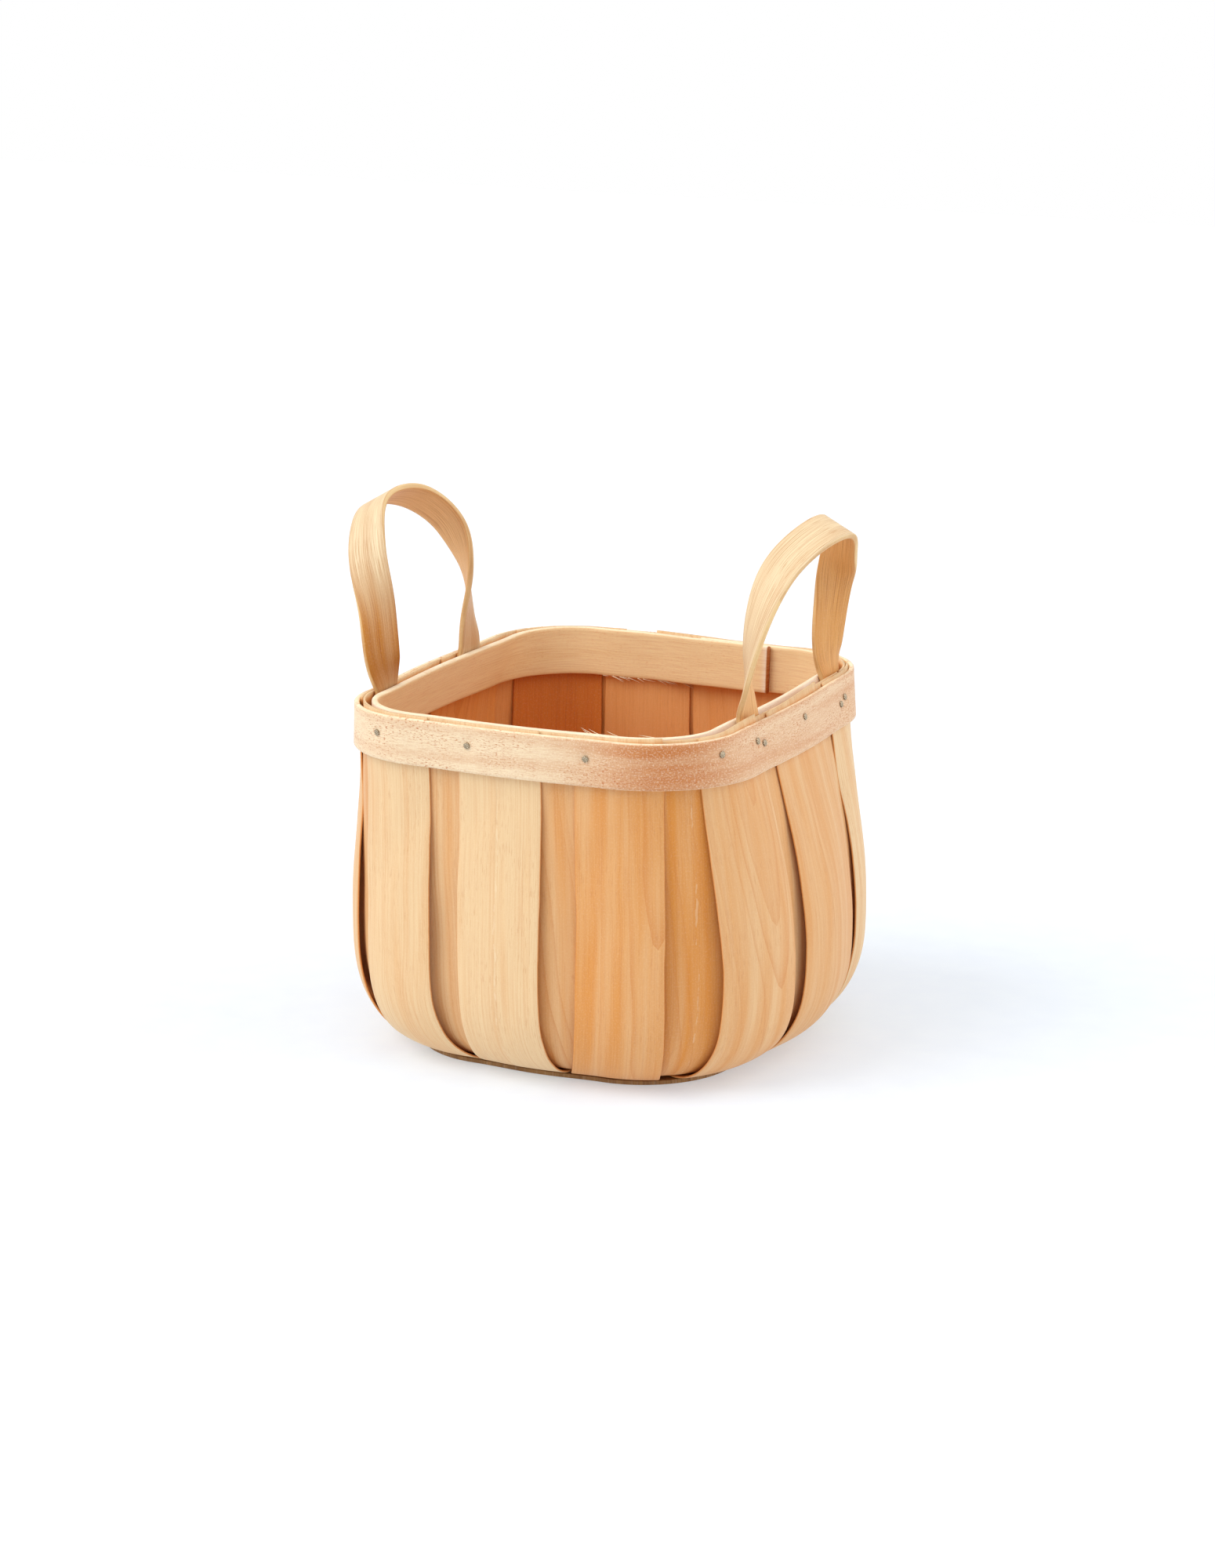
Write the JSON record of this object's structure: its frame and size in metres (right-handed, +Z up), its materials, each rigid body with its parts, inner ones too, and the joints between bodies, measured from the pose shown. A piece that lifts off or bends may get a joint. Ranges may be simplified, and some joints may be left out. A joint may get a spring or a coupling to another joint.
{
  "type": "berry basket",
  "caption": "Open splint basket of thin wood strips, nailed between a bent outer and inner rim hoop, with bent strip handles standing up on opposite sides.",
  "frame": {"origin": "on the floor plane, in the middle of the basket's whole box in plan", "axes": "+Z up, X across from one handle to the other, -Y towards the side the picture shows"},
  "size_m": [0.2286, 0.212, 0.2508],
  "materials": {
    "hoop": "unfinished, matte",
    "outer_splint": "unfinished, matte",
    "inner_splint": "unfinished, matte",
    "handle": "unfinished, matte",
    "board": "unfinished, matte",
    "steel": "plain wire nail, dull"
  },
  "bodies": {
    "root": {"splint_outer_01": "outer_splint", "splint_outer_02": "outer_splint", "splint_outer_03": "outer_splint", "splint_outer_04": "outer_splint", "splint_outer_05": "outer_splint", "splint_outer_06": "outer_splint", "splint_outer_07": "outer_splint", "splint_outer_08": "outer_splint", "splint_outer_09": "outer_splint", "splint_outer_10": "outer_splint", "splint_outer_11": "outer_splint", "splint_outer_12": "outer_splint", "splint_inner_01": "inner_splint", "splint_inner_02": "inner_splint", "splint_inner_03": "inner_splint", "splint_inner_04": "inner_splint", "splint_inner_05": "inner_splint", "splint_inner_06": "inner_splint", "splint_inner_07": "inner_splint", "splint_inner_08": "inner_splint", "splint_inner_09": "inner_splint", "splint_inner_10": "inner_splint", "splint_inner_11": "inner_splint", "splint_inner_12": "inner_splint", "outer_rim_hoop": "hoop", "inner_rim_hoop": "hoop", "handle_left": "handle", "handle_right": "handle", "base_board": "board", "inner_base_board": "board", "rim_nail_01": "steel", "rim_nail_02": "steel", "rim_nail_03": "steel", "rim_nail_04": "steel", "rim_nail_05": "steel", "rim_nail_06": "steel", "rim_nail_07": "steel", "rim_nail_08": "steel", "rim_nail_09": "steel", "rim_nail_10": "steel", "rim_nail_11": "steel", "handle_nail_01": "steel", "handle_nail_02": "steel", "handle_nail_03": "steel", "handle_nail_04": "steel", "handle_nail_05": "steel", "handle_nail_06": "steel", "handle_nail_07": "steel", "handle_nail_08": "steel", "base_tack_01": "steel", "base_tack_02": "steel", "base_tack_03": "steel", "base_tack_04": "steel", "base_tack_05": "steel", "base_tack_06": "steel"}
  },
  "joints": []
}
